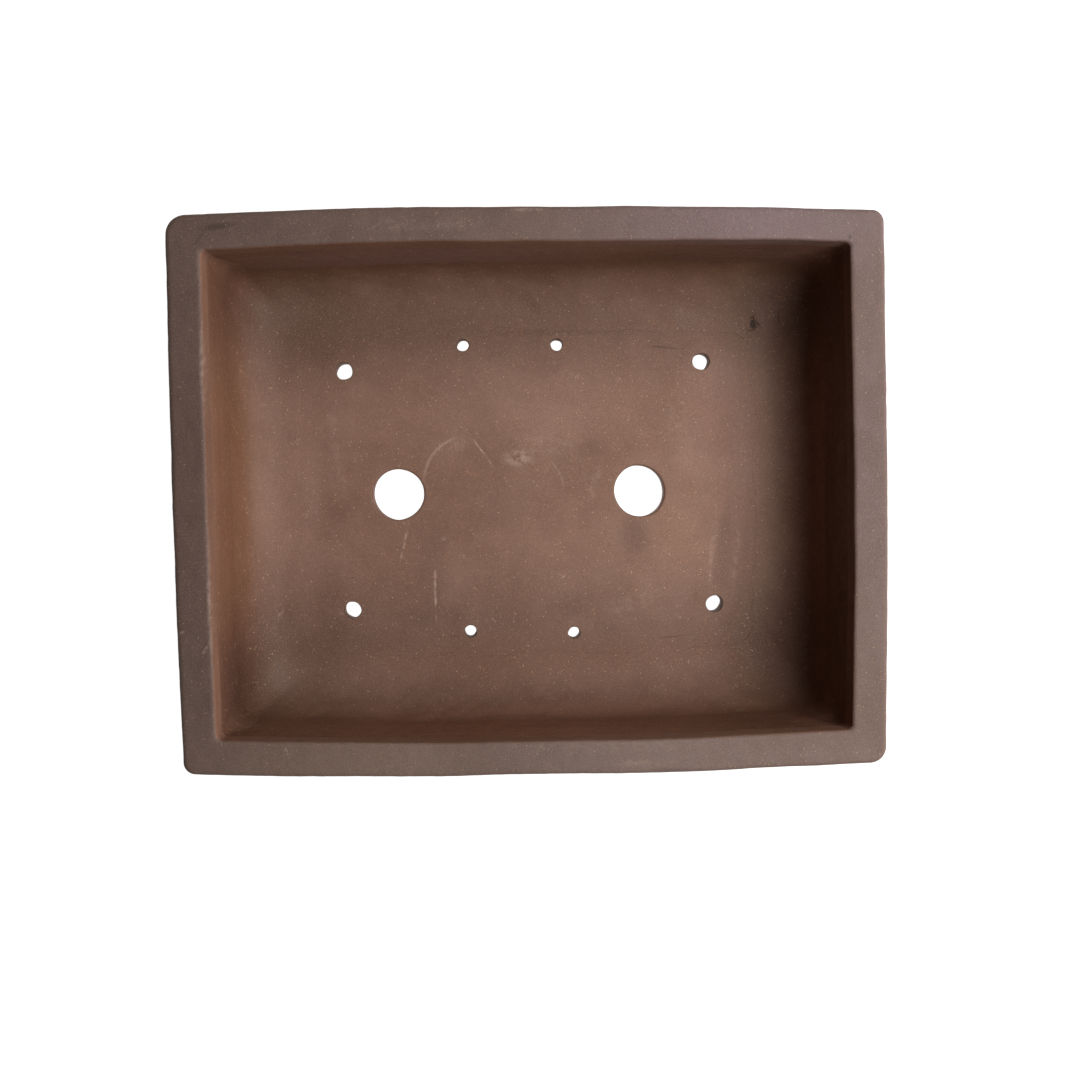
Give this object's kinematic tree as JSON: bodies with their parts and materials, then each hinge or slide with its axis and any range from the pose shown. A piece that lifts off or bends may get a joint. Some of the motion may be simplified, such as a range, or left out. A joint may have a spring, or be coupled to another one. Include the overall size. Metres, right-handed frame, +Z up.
{
  "type": "bonsai pot",
  "caption": "Rectangular unglazed clay bonsai pot with an overhanging rim, corner feet, drain holes and tie-wire holes in its floor.",
  "frame": {"origin": "centre of the footprint on the table plane, under the feet", "axes": "+X along the length, to the right-hand end; -Y towards the front; +Z up through the open mouth"},
  "size_m": [0.4, 0.318, 0.125],
  "materials": {
    "floor_clay": "unglazed, grogged, matt",
    "wall_clay": "unglazed, sponged, matt",
    "rim_clay": "unglazed, smoothed, matt",
    "coil_clay": "unglazed, finger-smeared, matt",
    "foot_clay": "unglazed, matt"
  },
  "bodies": {
    "root": {"floor_slab": "floor_clay", "back_wall": "wall_clay", "front_wall": "wall_clay", "left_wall": "wall_clay", "right_wall": "wall_clay", "back_rim": "rim_clay", "front_rim": "rim_clay", "left_rim": "rim_clay", "right_rim": "rim_clay", "back_floor_coil": "coil_clay", "front_floor_coil": "coil_clay", "left_floor_coil": "coil_clay", "right_floor_coil": "coil_clay", "back_left_corner_coil": "coil_clay", "back_right_corner_coil": "coil_clay", "front_left_corner_coil": "coil_clay", "front_right_corner_coil": "coil_clay", "back_left_foot": "foot_clay", "back_right_foot": "foot_clay", "front_left_foot": "foot_clay", "front_right_foot": "foot_clay"}
  },
  "joints": []
}
